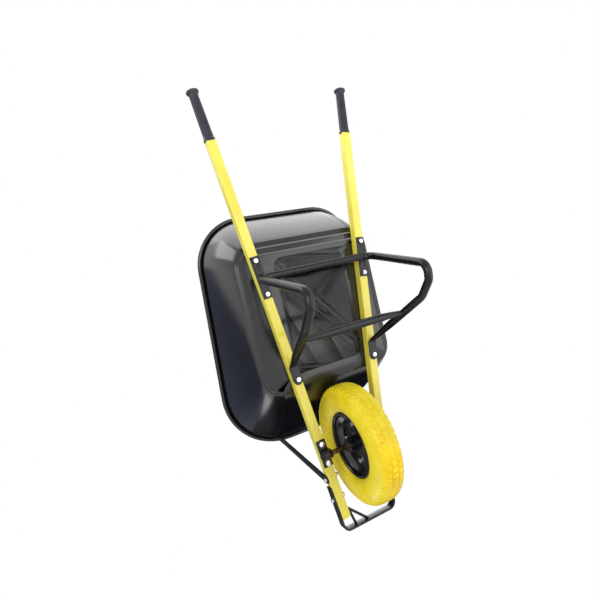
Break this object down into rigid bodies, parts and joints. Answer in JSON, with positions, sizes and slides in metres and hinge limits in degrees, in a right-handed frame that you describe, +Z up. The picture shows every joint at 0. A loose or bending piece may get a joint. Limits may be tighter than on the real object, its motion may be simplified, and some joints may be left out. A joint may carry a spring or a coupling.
{
  "type": "wheelbarrow",
  "caption": "Single-wheel barrow: pressed steel tray on two square-tube handles, bent-tube legs, nose guard and a foam-filled wheel that spins on a fixed axle.",
  "frame": {"origin": "middle of the barrow's overall box, on the ground it stands on", "axes": "+X forward to the nose and wheel, +Y to the user's left, +Z up; standing on its wheel and both feet"},
  "size_m": [1.4382, 0.636, 0.6364],
  "materials": {
    "yellow_enamel": "gloss sprayed enamel on steel tube",
    "grip_rubber": "moulded, matt with a dull sheen",
    "black_gloss_enamel": "deep gloss enamel on pressed sheet",
    "yellow_foam": "closed-skin moulded polyurethane foam, satin",
    "black_wheel_paint": "gloss paint on stamped sheet",
    "black_frame_paint": "semi-gloss powder coat on steel",
    "bearing_steel": "ground steel",
    "dark_steel": "oiled, darkened bar steel",
    "zinc_fasteners": "bright zinc plate"
  },
  "bodies": {
    "frame": {"handle_left": "yellow_enamel", "handle_right": "yellow_enamel", "grip_left": "grip_rubber", "grip_right": "grip_rubber", "tray": "black_gloss_enamel", "axle": "dark_steel", "axle_collar_left": "dark_steel", "axle_collar_right": "dark_steel", "axle_bracket_left": "black_frame_paint", "axle_bracket_right": "black_frame_paint", "axle_bracket_bolts": "zinc_fasteners", "axle_bracket_nuts": "zinc_fasteners", "leg_frame": "black_frame_paint", "leg_brace": "black_frame_paint", "rear_plate_left": "black_frame_paint", "rear_plate_right": "black_frame_paint", "tray_bolts": "zinc_fasteners", "tray_nuts": "zinc_fasteners", "tray_washers": "zinc_fasteners", "stay_left": "black_frame_paint", "stay_right": "black_frame_paint", "nose_guard": "black_frame_paint", "nose_brace": "black_frame_paint", "side_bolts": "zinc_fasteners", "side_nuts": "zinc_fasteners"},
    "wheel": {"tyre": "yellow_foam", "rim_half_left": "black_wheel_paint", "rim_half_right": "black_wheel_paint", "wheel_hub": "black_wheel_paint", "bearing_left": "bearing_steel", "bearing_right": "bearing_steel", "rim_bolts": "zinc_fasteners", "rim_nuts": "zinc_fasteners"}
  },
  "joints": [
    {"name": "wheel_spin", "type": "hinge", "parent": "frame", "child": "wheel", "pos_m": [0.4398, 0, 0.195], "axis": [0, 1, 0], "continuous": true}
  ]
}
